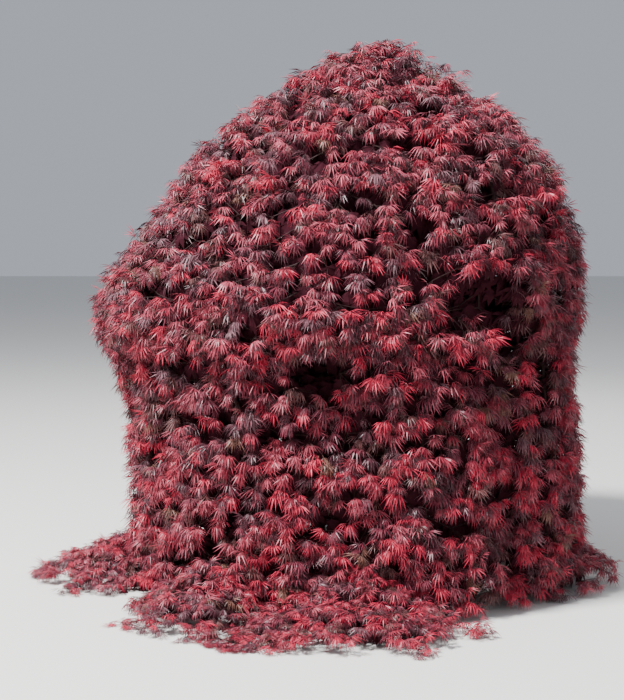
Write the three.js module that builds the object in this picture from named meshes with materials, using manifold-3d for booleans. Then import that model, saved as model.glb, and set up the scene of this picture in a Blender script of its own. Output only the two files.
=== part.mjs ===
// A weeping laceleaf maple, rooted in the ground, as an assembly of named solids.
// A short flared trunk carries arching boughs, and each bough ends in one mass of hanging foliage.
// The masses make a dome round an open middle, and low skirts trail from under it onto the ground.
// Millimetres, +Z up. The origin is the middle of the flat cut under the trunk. The front is -Y.
import * as THREE from "three";
import { mergeVertices } from "three/addons/utils/BufferGeometryUtils.js";
import Module from "manifold-3d";

const wasm = await Module();
wasm.setup();
const { clamp, degToRad, lerp, smoothstep } = THREE.MathUtils;

// The crown's outline
const HEIGHT = 2400; // ground to the topmost leaf
const WIDEST_HALF = 1110; // half the crown's width at its shoulder
const WIDEST_AT = 1200; // height of the shoulder
const FOOT_HALF = 1010; // half the crown's width where it hangs straight
const FOOT_FROM = 850; // height below which it hangs straight
const TOP_LEAN = 170; // how far the top stands to the right of the trunk
const SHOULDER_LEAN = -105; // how far the shoulder bulges to the left
const SHOULDER_SPREAD = 350; // height over which that bulge fades
const SHELL = 260; // how deep the foliage goes in from the outline
const SKIRT_TOP = 235; // height of the skirts where they come out from under the crown

// Limbs
const FORK_AT = 930; // height of the trunk's top, where the leader starts
const TRUNK_LEAN = new THREE.Vector3(38, -14, FORK_AT);
const FLARE_RADIUS = 132; // trunk at the ground
const FLARE_HEIGHT = 190;
const TRUNK_RADIUS = 72; // just above the flare
const FORK_RADIUS = 56;
const ROOT_RIDGES = 5; // buttresses round the flare
const LIMB_SIDES = 5;
const TIP_RADIUS = 11; // every bough, where it meets its mass
const TIP_RUN = 90; // length of a bough that already points the way its stem goes on
const GAP = 0.3; // clearance between two solids that meet

// Foliage. Depths are under the crown's outline, plus each mass's own dip.
const LAP = 240; // how far a tier's outer hem hangs below its inner edge
const SEAM = 4; // clearance between neighbouring masses
const TIER_DIP = 75; // a mass starts this much deeper than its hem
const SIDE_DIP = 40; // and curves in by this much at its sides
const CORE_DEPTHS = [108, 180]; // its outer and its inner face
const CORE_SHARE = 0.93; // its share of the mass, across and down
const CORE_CORNERS = 10;
const CORE_SQUARENESS = 0.5; // 1 is an oval, 0 a rectangle
const CORE_BEVEL = 0.85; // its inner face against its outer one
const STEM_RADIUS = 10;
const STEM_DEPTH = 80;
const TWIG_RADIUS = 7.5;
const TWIG_TIP_RADIUS = 6.2;
const TWIG_DEPTH = 60; // at the twig's tip
const SMOOTHING = 0.3; // fused surfaces may move by this much where that saves a corner
const LEAF_LENGTH = 260; // each leaf stands for a spray of real ones
const LEAF_TURN = 0.1; // radians that a leaf turns aside by chance, and as much again along its twig
const LEAF_THICKNESS = 6;
const LEAF_SPACING = 184; // the least between the leaves of one row
const FORK_RISE = 30; // a pair of twigs leaves the stem this far above its row
const LEAF_ROOT = -0.014; // places along a leaf, as shares of its length
const HUB = 0.06; // where the lobes meet
const NOTCH = 0.3; // how far out from the hub the lobes part
const HUB_RISE = 8; // the hub stands this far off its twig
const NOTCH_DEPTH = 38;
const TIP_DEPTH = 12;
const LOBES = [
  [-60, 0.5],
  [-28, 0.84],
  [0, 1],
  [28, 0.84],
  [60, 0.5],
].map(([bearing, length]) => ({ bearing: degToRad(bearing), reach: length - HUB }));
const LEAF_HALF_WIDTH = 122; // with the turn that it may have

// The tiers of the crown. Edges are distances down the outline from the top.
const TIERS = [
  { name: "upper", count: 6, turn: 12, from: 400, to: 1090, rows: 4, staggered: 0 },
  { name: "middle", count: 8, turn: -8, from: 1090, to: 1870, rows: 3, staggered: 1 },
  { name: "lower", count: 8, turn: -30, from: 1870, to: 2630, rows: 3, staggered: 1, droop: 15 },
];
const CAP = {
  from: 0,
  to: 400,
  twigs: 8,
  innerDown: 36, // its leaves' places, as distances down the outline
  outerDown: 190,
  forkDown: 16, // where its twigs leave the stem
  forkDepth: 130,
  tierDip: 0,
  coreShare: 0.93,
  seed: 7,
};

// The skirts that trail on the ground: bearing and half width in degrees, reach from the trunk
const SKIRTS = [
  { name: "left", bearing: -172, half: 15, reach: 1440 },
  { name: "front_left", bearing: -126, half: 14, reach: 1390 },
  { name: "front", bearing: -92, half: 20, reach: 1430 },
  { name: "right", bearing: -15, half: 20, reach: 1200 },
  { name: "back_right", bearing: 38, half: 23, reach: 1200 },
  { name: "back_left", bearing: 112, half: 21, reach: 1190 },
];

const BARK = new THREE.MeshStandardMaterial({ color: "#5b4a41", roughness: 0.9, metalness: 0 });
const FOLIAGE = ["#8c1a33", "#701a2e", "#a1203a", "#5a1a2b", "#7f2438"].map(
  (color) => new THREE.MeshStandardMaterial({ color, roughness: 0.55, metalness: 0 }),
);

const tree = new THREE.Group();
const limbPoints = []; // along every limb, with its radius there, for the foliage to keep clear of
const grownLimbs = []; // every limb with its clearance round it, for the next ones to be cut by

// Numbers from 0 to 1 that are the same on every run
function seeded(seed) {
  let state = seed >>> 0;
  return () => {
    state = (Math.imul(state, 1664525) + 1013904223) >>> 0;
    return state / 2 ** 32;
  };
}

const spread = (random, amount) => (random() * 2 - 1) * amount;

// How far the crown's middle stands to the right of the trunk's foot at a height
function sideShift(height) {
  const bulge = Math.exp(-(((height - WIDEST_AT) / SHOULDER_SPREAD) ** 2));
  return TOP_LEAN * (height / HEIGHT) ** 3.4 + SHOULDER_LEAN * bulge;
}

// A rib is a curve in the plane of radius and height, with its length.
function makeRib(points) {
  const curve = new THREE.SplineCurve(points.map(([radius, height]) => new THREE.Vector2(radius, height)));
  curve.arcLengthDivisions = 400;
  return { curve, length: curve.getLength() };
}

// The crown's own rib runs from its top down to the ground.
function crownRib() {
  const points = [];
  const above = 14;
  for (let i = 0; i <= above; i++) {
    const rise = 1 - (i / above) ** 1.6;
    points.push([WIDEST_HALF * (1 - rise ** 1.5) ** 0.625, lerp(WIDEST_AT, HEIGHT, rise)]);
  }
  const below = 6;
  for (let i = 1; i <= below; i++) {
    const height = WIDEST_AT * (1 - i / below);
    points.push([lerp(FOOT_HALF, WIDEST_HALF, smoothstep(height, FOOT_FROM, WIDEST_AT)), height]);
  }
  return makeRib(points);
}

// A skirt's rib starts under the crown and slopes out to a low edge.
function skirtRib({ reach }) {
  const start = FOOT_HALF - SHELL;
  const shares = [0, 0.3, 0.6, 0.85, 1];
  const heights = [SKIRT_TOP, SKIRT_TOP - 8, 165, 95, 34];
  return makeRib(shares.map((share, i) => [lerp(start, reach, share), heights[i]]));
}

// Places in the crown are a bearing, a distance down the rib and a depth under it.
function crownPoint(rib, { bearing, down }, under) {
  const share = clamp(down / rib.length, 0, 1);
  const on = rib.curve.getPointAt(share);
  const along = rib.curve.getTangentAt(share);
  const radius = on.x + along.y * under;
  const height = on.y - along.x * under;
  return polar(bearing, radius, height, sideShift(height));
}

// The place reached from another by going across and then down the outline
function stroll(rib, from, across, down) {
  const share = clamp((from.down + down) / rib.length, 0, 1);
  const radius = rib.curve.getPointAt(share).x;
  const spreading = rib.curve.getTangentAt(share).x;
  return {
    bearing: from.bearing + Math.atan2(across, radius),
    down: from.down + down + (Math.hypot(across, radius) - radius) * spreading,
  };
}

// A point at a bearing round an upright line, which stands to the right of the origin by centre
function polar(bearing, radius, height, centre = 0) {
  return new THREE.Vector3(centre + radius * Math.cos(bearing), radius * Math.sin(bearing), height);
}

const turnBetween = (a, b) => Math.atan2(Math.sin(a - b), Math.cos(a - b));

function toSolid(geometry) {
  const bare = geometry.clone();
  bare.deleteAttribute("normal");
  bare.deleteAttribute("uv");
  const merged = mergeVertices(bare, 1e-3);
  return new wasm.Manifold(
    new wasm.Mesh({
      numProp: 3,
      vertProperties: new Float32Array(merged.attributes.position.array),
      triVerts: new Uint32Array(merged.index.array),
    }),
  );
}

function toGeometry(solid) {
  const { numProp, vertProperties, triVerts, numVert } = solid.getMesh();
  const position = new Float32Array(numVert * 3);
  for (let i = 0; i < numVert; i++) {
    position.set(vertProperties.subarray(i * numProp, i * numProp + 3), i * 3);
  }
  return new THREE.BufferGeometry()
    .setAttribute("position", new THREE.BufferAttribute(position, 3))
    .setIndex(new THREE.BufferAttribute(new Uint32Array(triVerts), 1));
}

const largestBody = (solid) =>
  solid.decompose().reduce((largest, body) => (body.volume() > largest.volume() ? body : largest));

function addNode(name, solid, material) {
  const mesh = new THREE.Mesh(toGeometry(solid), material);
  mesh.name = name;
  tree.add(mesh);
}

// A closed skin over a row of rings with the same number of corners each. Its ends are flat,
// or come to the two points given.
function skinOver(rings, ends = []) {
  const sides = rings[0].length;
  const points = [...rings.flat(), ...ends];
  const last = (rings.length - 1) * sides;
  const index = [];
  for (let i = 0; i < sides; i++) {
    const next = (i + 1) % sides;
    for (let row = 0; row < last; row += sides) {
      index.push(row + i, row + next, row + next + sides, row + i, row + next + sides, row + i + sides);
    }
    if (ends.length) index.push(last + sides, next, i, last + sides + 1, last + i, last + next);
    else if (i > 0 && next > 0) index.push(0, next, i, last, last + i, last + next);
  }
  const geometry = new THREE.BufferGeometry().setFromPoints(points);
  geometry.setIndex(index);
  return geometry;
}

// A tube with a ring of corners at each point. endAlong squares its far end to what goes on from it.
function tubeGeometry({ points, radii, sides, endAlong = null }) {
  const last = points.length - 1;
  let out = new THREE.Vector3(0.31, -0.47, 0.83);
  const rings = points.map((centre, i) => {
    const along = points[Math.min(i + 1, last)].clone().sub(points[Math.max(i - 1, 0)]).normalize();
    if (i === last && endAlong) along.copy(endAlong);
    out = out.clone().addScaledVector(along, -out.dot(along)).normalize();
    const side = new THREE.Vector3().crossVectors(along, out);
    return Array.from({ length: sides }, (_, k) => {
      const turn = (k / sides) * 2 * Math.PI;
      return centre
        .clone()
        .addScaledVector(out, Math.cos(turn) * radii[i])
        .addScaledVector(side, Math.sin(turn) * radii[i]);
    });
  });
  return skinOver(rings);
}

// A limb tapers along a smooth curve.
function limbGeometry({ curve, from, to, steps, endAlong, extra = 0 }) {
  const radii = Array.from({ length: steps + 1 }, (_, i) => lerp(from, to, (i / steps) ** 0.8) + extra);
  return tubeGeometry({ points: curve.getSpacedPoints(steps), radii, sides: LIMB_SIDES, endAlong });
}

// The trunk: flat at the ground, ridged where the roots leave it, and leaning a little
function trunkGeometry(extra = 0) {
  const sides = 15;
  const heights = [0, 25, 60, 110, FLARE_HEIGHT, 420, 690, FORK_AT + extra];
  const rings = heights.map((height) => {
    const flare = (1 - Math.min(height / FLARE_HEIGHT, 1)) ** 2;
    const plain = lerp(TRUNK_RADIUS, FORK_RADIUS, height / FORK_AT);
    const centre = trunkAxis(height);
    return Array.from({ length: sides }, (_, k) => {
      const turn = (k / sides) * 2 * Math.PI;
      const ridge = 1 + 0.2 * flare * Math.cos(ROOT_RIDGES * turn);
      const radius = lerp(plain, FLARE_RADIUS, flare) * ridge + extra;
      return polar(turn, radius, height).add(new THREE.Vector3(centre.x, centre.y, 0));
    });
  });
  return skinOver(rings);
}

// The trunk's middle at a height: a lean with a slow bend in it
function trunkAxis(height) {
  const share = height / FORK_AT;
  const bend = Math.sin(share * Math.PI) * 16;
  return new THREE.Vector3(TRUNK_LEAN.x * share ** 1.5 - bend, TRUNK_LEAN.y * share + bend / 2, height);
}

// A bough from its parent's middle to its mass, cut back to the surface of the limbs before it
function addBough({ name, start, mids, tip, tipAlong, radius }) {
  const before = tip.clone().addScaledVector(tipAlong, -TIP_RUN);
  const curve = new THREE.CatmullRomCurve3([start, ...mids, before, tip], false, "centripetal");
  const shape = { curve, from: radius, to: TIP_RADIUS, steps: mids.length + 2, endAlong: tipAlong };
  const whole = toSolid(limbGeometry(shape));
  addNode(name, largestBody(grownLimbs.reduce((bough, limb) => bough.subtract(limb), whole)), BARK);
  grownLimbs.push(toSolid(limbGeometry({ ...shape, extra: GAP })));
  const samples = 24;
  curve.getSpacedPoints(samples).forEach((at, i) => {
    limbPoints.push({ at, radius: lerp(radius, TIP_RADIUS, i / samples) });
  });
  return curve;
}

// Where a bough hands over to its mass: the point, and the direction in which the stem goes on
function entryOf(mass) {
  const { rib, bearing, entry } = mass;
  const tip = crownPoint(rib, { bearing, down: mass.from + entry.down }, entry.under);
  const { point } = massPoint(mass, { bearing, down: mass.cap ? 0 : firstFork(mass) }, mass.stemDepth);
  return { tip, along: point.sub(tip).normalize() };
}

const firstFork = ({ from, firstRow }) => from + firstRow - FORK_RISE;

// How much deeper than the crown's outline a mass's own surface is
function dipAt(mass, { bearing, down }) {
  const share = clamp((down - mass.from) / (mass.to - mass.from), 0, 1);
  const aside = mass.cap ? 0 : Math.min(Math.abs(turnBetween(bearing, mass.bearing)) / mass.half, 1);
  return mass.inset + mass.tierDip * (1 - share) ** 2 + mass.sideDip * aside ** 2;
}

// How far the edge between two tiers slants down at a depth
const lapAt = (mass, under) => (mass.lapped ? LAP * (0.5 - under / SHELL) : 0);

// A point of a mass, and whether it keeps to the mass's own space between its neighbours
function massPoint(mass, place, depth) {
  const under = depth + dipAt(mass, place);
  const point = crownPoint(mass.rib, place, under);
  const lap = lapAt(mass, under);
  const radius = Math.hypot(point.x - sideShift(point.z), point.y);
  const beside = (mass.half - Math.abs(turnBetween(place.bearing, mass.bearing))) * radius;
  const inside =
    (mass.cap || beside > SEAM) &&
    (mass.from === 0 || place.down > mass.from + lap + SEAM) &&
    place.down < mass.to + lap - SEAM &&
    point.z > mass.floor &&
    point.z < mass.ceiling &&
    limbPoints.every(({ at, radius: limb }) => at.distanceTo(point) > limb + SEAM);
  return { point, inside };
}

// A five-lobed leaf is a thin closed star: a ring of tips and notches between an upper and a lower hub.
function leafCorners(mass, { place, depth, turn, size }) {
  const [sin, cos] = [Math.sin(turn), Math.cos(turn)];
  const corner = (x, y, under) => {
    const at = stroll(mass.rib, place, size * (x * cos + y * sin), size * (y * cos - x * sin));
    return massPoint(mass, at, under);
  };
  const ring = [corner(0, LEAF_ROOT, depth)];
  LOBES.forEach(({ bearing, reach }, i) => {
    ring.push(corner(Math.sin(bearing) * reach, HUB + Math.cos(bearing) * reach, mass.tipDepth));
    if (i === LOBES.length - 1) return;
    const between = (bearing + LOBES[i + 1].bearing) / 2;
    ring.push(corner(Math.sin(between) * NOTCH, HUB + Math.cos(between) * NOTCH, mass.notchDepth));
  });
  const [hub, half] = [depth - HUB_RISE, LEAF_THICKNESS / 2];
  return [...ring, corner(0, HUB, hub - half), corner(0, HUB, hub + half)];
}

function leafSolid(corners) {
  const geometry = new THREE.BufferGeometry().setFromPoints(corners);
  const [ring, top, bottom] = [corners.length - 2, corners.length - 2, corners.length - 1];
  const index = [];
  for (let i = 0; i < ring; i++) {
    const next = (i + 1) % ring;
    index.push(top, i, next, bottom, next, i);
  }
  geometry.setIndex(index);
  return toSolid(geometry);
}

const squared = (value) => Math.sign(value) * Math.abs(value) ** CORE_SQUARENESS;

// The core: a slab with slanted edges, bent to the mass's surface
function coreSolid(mass) {
  const middle = { bearing: mass.bearing, down: mass.cap ? 40 : (mass.from + mass.to) / 2 + mass.coreShift };
  const halfDown = mass.cap ? mass.to : (mass.to - mass.from) / 2;
  const ring = (share, depth) =>
    Array.from({ length: CORE_CORNERS }, (_, k) => {
      const turn = ((mass.cap ? -k : k) / CORE_CORNERS) * 2 * Math.PI;
      const [x, y] = [Math.cos(turn), Math.sin(turn)].map((v) => squared(v) * share);
      const at = mass.cap
        ? { bearing: turn, down: mass.to * share }
        : { bearing: middle.bearing + mass.half * x, down: middle.down + halfDown * y };
      const under = depth + dipAt(mass, at);
      return crownPoint(mass.rib, { ...at, down: at.down + lapAt(mass, under) }, under);
    });
  const [outer, inner] = mass.coreDepths;
  const rings = [ring(mass.coreShare, outer), ring(mass.coreShare * CORE_BEVEL, inner)];
  const ends = [outer, inner].map((depth) => crownPoint(mass.rib, middle, depth + dipAt(mass, middle)));
  return toSolid(skinOver(rings, ends));
}

// Twigs and stems are three-sided, and pass through the places that their leaves hang from.
function twigSolid(mass, stops, first = null) {
  const points = stops.map(({ place, depth }) => massPoint(mass, place, depth).point);
  if (first) points.unshift(first);
  const radii = [...(first ? [STEM_RADIUS] : []), ...stops.map(({ radius = TWIG_RADIUS }) => radius)];
  return toSolid(tubeGeometry({ points, radii, sides: 3 }));
}

// One row of a mass: a pair of opposite twigs with leaves spaced along them
function growRow(mass, { down, offset, random }) {
  const radius = mass.rib.curve.getPointAt(down / mass.rib.length).x;
  const reach = mass.half * radius - LEAF_HALF_WIDTH * mass.leafScale - 3 * SEAM;
  const spaces = Math.floor((2 * reach) / (LEAF_SPACING * mass.leafScale));
  const middle = { bearing: mass.bearing, down };
  const leaves = Array.from({ length: spaces + 1 - offset }, (_, i) => {
    const aside = spaces ? (2 * i + offset) / spaces - 1 : 0;
    const fall = Math.abs(aside) * (mass.droop + spread(random, 12));
    return {
      aside,
      place: stroll(mass.rib, middle, aside * reach, fall),
      depth: lerp(mass.stemDepth, mass.twigDepth, Math.abs(aside)),
      turn: aside * LEAF_TURN + spread(random, LEAF_TURN),
      size: LEAF_LENGTH * mass.leafScale * (1 + spread(random, 0.05)),
      radius: TWIG_TIP_RADIUS,
    };
  });
  const forkPlace = { bearing: mass.bearing, down: down - FORK_RISE };
  const fork = { aside: 0, place: forkPlace, depth: mass.stemDepth };
  return { leaves, fork, end: { place: middle, depth: mass.stemDepth } };
}

// A hanging mass grows rows of leaves down its stem, and a spur ties the stem to the core behind it.
function growCurtain(mass, random) {
  const [first, last] = [mass.from + mass.firstRow, mass.to - mass.lastRow];
  const rows = Array.from({ length: mass.rows }, (_, k) => {
    const down = lerp(first, last, k / (mass.rows - 1));
    return growRow(mass, { down, offset: mass.staggered * (k % 2), random });
  });
  const { tip, along } = entryOf(mass);
  const stops = [...rows.map(({ fork }) => fork), rows.at(-1).end];
  const stem = twigSolid(mass, stops, tip.addScaledVector(along, GAP));
  const place = { bearing: mass.bearing, down: lerp(first, last, 0.33) };
  const [front, back] = mass.coreDepths;
  const spur = twigSolid(mass, [
    { place, depth: mass.stemDepth - 4 },
    { place, depth: lerp(front, back, 0.6) },
  ]);
  return { leaves: rows.flatMap(({ leaves }) => leaves), stems: [stem, spur], rows };
}

// The top of the crown has twigs all round an upright stem instead.
function growCap(mass, random) {
  const { tip, along } = entryOf(mass);
  const crest = { place: { bearing: 0, down: 0 }, depth: mass.forkDepth };
  const stem = twigSolid(mass, [crest], tip.addScaledVector(along, GAP));
  const rows = Array.from({ length: mass.twigs }, (_, k) => {
    const bearing = (k / mass.twigs) * 2 * Math.PI + spread(random, 0.06);
    const downs = k % 2 ? [mass.outerDown] : [mass.innerDown, mass.outerDown + 30];
    const leaves = downs.map((down) => ({
      aside: 1,
      place: { bearing, down },
      depth: mass.twigDepth,
      turn: spread(random, LEAF_TURN),
      size: LEAF_LENGTH * (1 + spread(random, 0.06)),
      radius: TWIG_TIP_RADIUS,
    }));
    return { leaves, fork: { aside: 0, place: { bearing, down: mass.forkDown }, depth: mass.forkDepth } };
  });
  return { leaves: rows.flatMap(({ leaves }) => leaves), stems: [stem], rows };
}

// Fuses a mass. A leaf that would leave the mass's space or touch a limb is left out, and a row's
// twigs end at the last leaves that it keeps.
function fuseMass(mass) {
  const random = seeded(mass.seed);
  const { leaves, stems, rows } = mass.cap ? growCap(mass, random) : growCurtain(mass, random);
  const kept = leaves.filter((leaf) => leafCorners(mass, leaf).every(({ inside }) => inside));
  const twigs = rows
    .map((row) => [row.fork, ...row.leaves.filter((leaf) => leaf.aside !== 0 && kept.includes(leaf))])
    .filter((stops) => stops.length > 1)
    .map((stops) => stops.sort((a, b) => a.aside - b.aside || a.place.down - b.place.down));
  const parts = [
    coreSolid(mass),
    ...stems,
    ...twigs.map((stops) => twigSolid(mass, stops)),
    ...kept.map((leaf) => leafSolid(leafCorners(mass, leaf).map(({ point }) => point))),
  ];
  return largestBody(wasm.Manifold.union(parts).asOriginal().simplify(SMOOTHING));
}

// What every mass has unless its own entry says otherwise
const MASS = {
  inset: 0,
  tierDip: TIER_DIP,
  sideDip: SIDE_DIP,
  lapped: true,
  floor: SEAM,
  ceiling: HEIGHT,
  leafScale: 1,
  notchDepth: NOTCH_DEPTH,
  tipDepth: TIP_DEPTH,
  droop: 45,
  firstRow: 20,
  lastRow: 248,
  stemDepth: STEM_DEPTH,
  twigDepth: TWIG_DEPTH,
  coreDepths: CORE_DEPTHS,
  coreShare: CORE_SHARE,
  coreShift: 0,
  entry: { down: -60, under: SHELL + 20 },
};

const crown = crownRib();

function tierMasses(tier, tierIndex) {
  return Array.from({ length: tier.count }, (_, i) => ({
    ...MASS,
    ...tier,
    name: `${tier.name}_foliage_${i + 1}`,
    rib: crown,
    bearing: degToRad(tier.turn + (360 / tier.count) * i),
    half: Math.PI / tier.count,
    floor: SKIRT_TOP + SEAM,
    seed: 100 * (tierIndex + 1) + i,
  }));
}

function skirtMass(skirt, i) {
  const rib = skirtRib(skirt);
  return {
    ...MASS,
    name: `skirt_${skirt.name}`,
    rib,
    bearing: degToRad(skirt.bearing),
    half: degToRad(skirt.half),
    from: 0,
    to: rib.length,
    rows: Math.floor((rib.length - 300) / 140) + 1,
    staggered: 0,
    firstRow: 40,
    lastRow: 260,
    tierDip: 0,
    sideDip: 30,
    droop: 10,
    lapped: false,
    leafScale: 0.85,
    notchDepth: 22,
    tipDepth: 4,
    ceiling: SKIRT_TOP,
    stemDepth: 46,
    twigDepth: 36,
    coreDepths: [62, 114],
    coreShare: 0.74,
    coreShift: -55,
    entry: { down: 6, under: 90 },
    seed: 500 + i,
  };
}

const capMass = {
  ...MASS,
  ...CAP,
  name: "top_foliage",
  cap: true,
  rib: crown,
  bearing: 0,
  half: Math.PI,
  entry: { down: 0, under: SHELL + 20 },
};
const [upper, middle, lower] = TIERS.map(tierMasses);
const skirts = SKIRTS.map(skirtMass);

// Limbs: the trunk, a leader to the top, and a bough to every mass
addNode("trunk", toSolid(trunkGeometry()), BARK);
grownLimbs.push(toSolid(trunkGeometry(GAP)));
for (let i = 0; i <= 12; i++) {
  limbPoints.push({ at: trunkAxis((FORK_AT * i) / 12), radius: FLARE_RADIUS });
}

const wander = (random, point, amount) =>
  point.add(new THREE.Vector3(spread(random, amount), spread(random, amount), spread(random, amount)));

// Points on the way from a bough's start to its tip, raised so that the bough arches over
function arch(random, start, tip, risesAtShares, amount) {
  return Object.entries(risesAtShares).map(([share, rise]) => {
    const point = start.clone().lerp(tip, Number(share));
    point.z += rise;
    return wander(random, point, amount);
  });
}

function addLeader() {
  const { tip, along } = entryOf(capMass);
  const start = trunkAxis(FORK_AT - 70);
  const mids = [0.35, 0.65].map((share, i) => start.clone().lerp(tip, share).add(polar(i * 2.6 + 0.7, 26, 0)));
  addBough({ name: "leader", start, mids, tip, tipAlong: along, radius: 38 });
}

// The upper boughs climb from the trunk's side at staggered heights, the next one round half a turn away.
function addUpperBough(mass, i) {
  const random = seeded(30 + i);
  const leaves = lerp(540, 740, ((i * 5) % 6) / 5);
  const { tip, along } = entryOf(mass);
  const start = trunkAxis(leaves);
  const mids = [
    polar(mass.bearing, 125, leaves + 80, start.x),
    wander(random, polar(mass.bearing, 190, lerp(leaves, tip.z, 0.4), start.x), 18),
    wander(random, polar(mass.bearing, 235, lerp(leaves, tip.z, 0.72), start.x + 30), 18),
  ];
  const curve = addBough({ name: `upper_bough_${i + 1}`, start, mids, tip, tipAlong: along, radius: 31 });
  return { bearing: mass.bearing, curve };
}

// The middle boughs leave the nearest upper bough and reach out to the shoulder.
function addMiddleBough(mass, i, uppers) {
  const random = seeded(50 + i);
  const turnTo = ({ bearing }) => Math.abs(turnBetween(bearing, mass.bearing));
  const parent = uppers.reduce((best, one) => (turnTo(one) < turnTo(best) ? one : best));
  const { tip, along } = entryOf(mass);
  const start = parent.curve.getPointAt(i % 2 ? 0.44 : 0.58);
  const mids = arch(random, start, tip, { 0.3: 55, 0.62: 75 }, 14);
  addBough({ name: `middle_bough_${i + 1}`, start, mids, tip, tipAlong: along, radius: 19 });
}

// The lower boughs leave the trunk, rise a little and arch over.
function addLowerBough(mass, i) {
  const random = seeded(70 + i);
  const leaves = lerp(400, 620, ((i * 3) % 8) / 7);
  const { tip, along } = entryOf(mass);
  const start = trunkAxis(leaves);
  const mids = arch(random, start, tip, { 0.3: 60, 0.65: 75 }, 14);
  addBough({ name: `lower_bough_${i + 1}`, start, mids, tip, tipAlong: along, radius: 20 });
}

// The skirt boughs leave the trunk low down and stoop to the ground.
function addSkirtBough(mass, i) {
  const random = seeded(90 + i);
  const leaves = lerp(240, 350, ((i * 5) % 6) / 5);
  const { tip, along } = entryOf(mass);
  const start = trunkAxis(leaves);
  const mids = arch(random, start, tip, { 0.35: 50, 0.7: 30 }, 8);
  addBough({ name: `skirt_bough_${SKIRTS[i].name}`, start, mids, tip, tipAlong: along, radius: 16 });
}

addLeader();
const uppers = upper.map(addUpperBough);
middle.forEach((mass, i) => addMiddleBough(mass, i, uppers));
lower.forEach(addLowerBough);
skirts.forEach(addSkirtBough);

[capMass, ...upper, ...middle, ...lower, ...skirts].forEach((mass, i) =>
  addNode(mass.name, fuseMass(mass), FOLIAGE[i % FOLIAGE.length]),
);

export default tree;
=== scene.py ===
"""A weeping laceleaf maple, rooted in the ground: bark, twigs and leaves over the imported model.

The crown's outline, its masses and its boughs follow the same rule as the solids, written again
here in metres. Each mass is carried on to finer twigs, shoots and lifelike leaves. +Z is up, the
front is -Y, and the origin is the middle of the flat cut under the trunk.
"""

import itertools
import math
import random
from collections import namedtuple

import bpy
import numpy as np
from mathutils import Euler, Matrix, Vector, noise

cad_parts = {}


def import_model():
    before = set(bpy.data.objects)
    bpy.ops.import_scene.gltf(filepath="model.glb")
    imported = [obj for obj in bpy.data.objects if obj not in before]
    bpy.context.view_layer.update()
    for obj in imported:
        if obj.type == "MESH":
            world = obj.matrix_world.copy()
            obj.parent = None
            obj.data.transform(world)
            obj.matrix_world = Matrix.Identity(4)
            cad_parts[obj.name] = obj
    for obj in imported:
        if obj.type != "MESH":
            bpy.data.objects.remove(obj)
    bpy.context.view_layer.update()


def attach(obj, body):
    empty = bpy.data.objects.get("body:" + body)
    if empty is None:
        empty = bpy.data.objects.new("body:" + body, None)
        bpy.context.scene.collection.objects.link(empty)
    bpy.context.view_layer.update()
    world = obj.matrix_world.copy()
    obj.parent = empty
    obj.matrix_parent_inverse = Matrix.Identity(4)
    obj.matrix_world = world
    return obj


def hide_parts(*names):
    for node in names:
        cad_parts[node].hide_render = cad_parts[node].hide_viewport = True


MM = 0.001

# The crown's outline, as in the solids
HEIGHT = 2.400  # ground to the top of the outline
WIDEST_HALF = 1.110  # half the crown's width at its shoulder
WIDEST_AT = 1.200  # height of the shoulder
FOOT_HALF = 1.010  # half the crown's width where it hangs straight
FOOT_FROM = 0.850  # height below which it hangs straight
TOP_LEAN = 0.170  # how far the top stands to the right of the trunk
SHOULDER_LEAN = -0.105  # how far the shoulder bulges to the left
SHOULDER_SPREAD = 0.350  # height over which that bulge fades
SHELL = 0.260  # how deep the foliage goes in from the outline
SKIRT_TOP = 0.235  # height of the skirts where they come out from under the crown
RIB_STEPS = 400  # along a curve that the outline follows

# Limbs, as in the solids
FORK_AT = 0.930  # height of the trunk's top, where the leader starts
TRUNK_LEAN = (0.038, -0.014)
TRUNK_BEND = 0.016
FLARE_RADIUS = 0.132  # trunk at the ground
FLARE_HEIGHT = 0.190
FLARE_RIDGE = 0.2  # share of its radius by which a ridge stands out
TRUNK_RADIUS = 0.072  # just above the flare
FORK_RADIUS = 0.056
ROOT_RIDGES = 5  # buttresses round the flare
TIP_RADIUS = 0.011  # every bough, where it meets its mass
TIP_RUN = 0.090  # length of a bough that already points the way its stem goes on
LEADER_RADIUS, LEADER_SWAY = 0.038, 0.026
UPPER_RADIUS = 0.031
UPPER_START = (0.540, 0.740)  # heights between which the upper boughs leave the trunk
LOWER_START = (0.400, 0.620)
SKIRT_START = (0.240, 0.350)
# The others arch over: seed, how far two points on the way are raised, how far they stray, radius
ARCHES = {
    "middle": (50, ((0.3, 0.055), (0.62, 0.075)), 0.014, 0.019),
    "lower": (70, ((0.3, 0.060), (0.65, 0.075)), 0.014, 0.020),
    "skirt": (90, ((0.35, 0.050), (0.7, 0.030)), 0.008, 0.016),
}
SPAN_STEPS = 24  # points along a bough between two that it's drawn through
BOUGH_STEPS = 20  # and along the whole bough, where its radius is given

# Foliage, as in the solids. Depths are under the crown's outline, plus each mass's own dip.
TIER_DIP = 0.075  # a mass starts this much deeper than its hem
SIDE_DIP = 0.040  # and curves in by this much at its sides
FORK_RISE = 0.030  # a pair of twigs leaves the stem this far above its row

# What this scene carries further: twigs closer together, and shoots that end in tufts of leaves.
# Climbs are angles over the level, and they and their scatters are in radians.
ROW_SPACING = 0.122  # rows of twigs down a mass
SPRAY_SPACING = 0.122  # sprays along a twig
DOWN_SCATTER, ACROSS_SCATTER = 0.045, 0.02  # of a spray's place
STEM_ROOT, STEM_RADII = 0.0100, (0.0085, 0.0045)  # radii at the bough's tip, and further on
TWIG_ROOT, TWIG_RADII = 0.0036, (0.0034, 0.0022)
GROWN_DIP = 0.015  # the leaves close most of the step between two tiers
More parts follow.
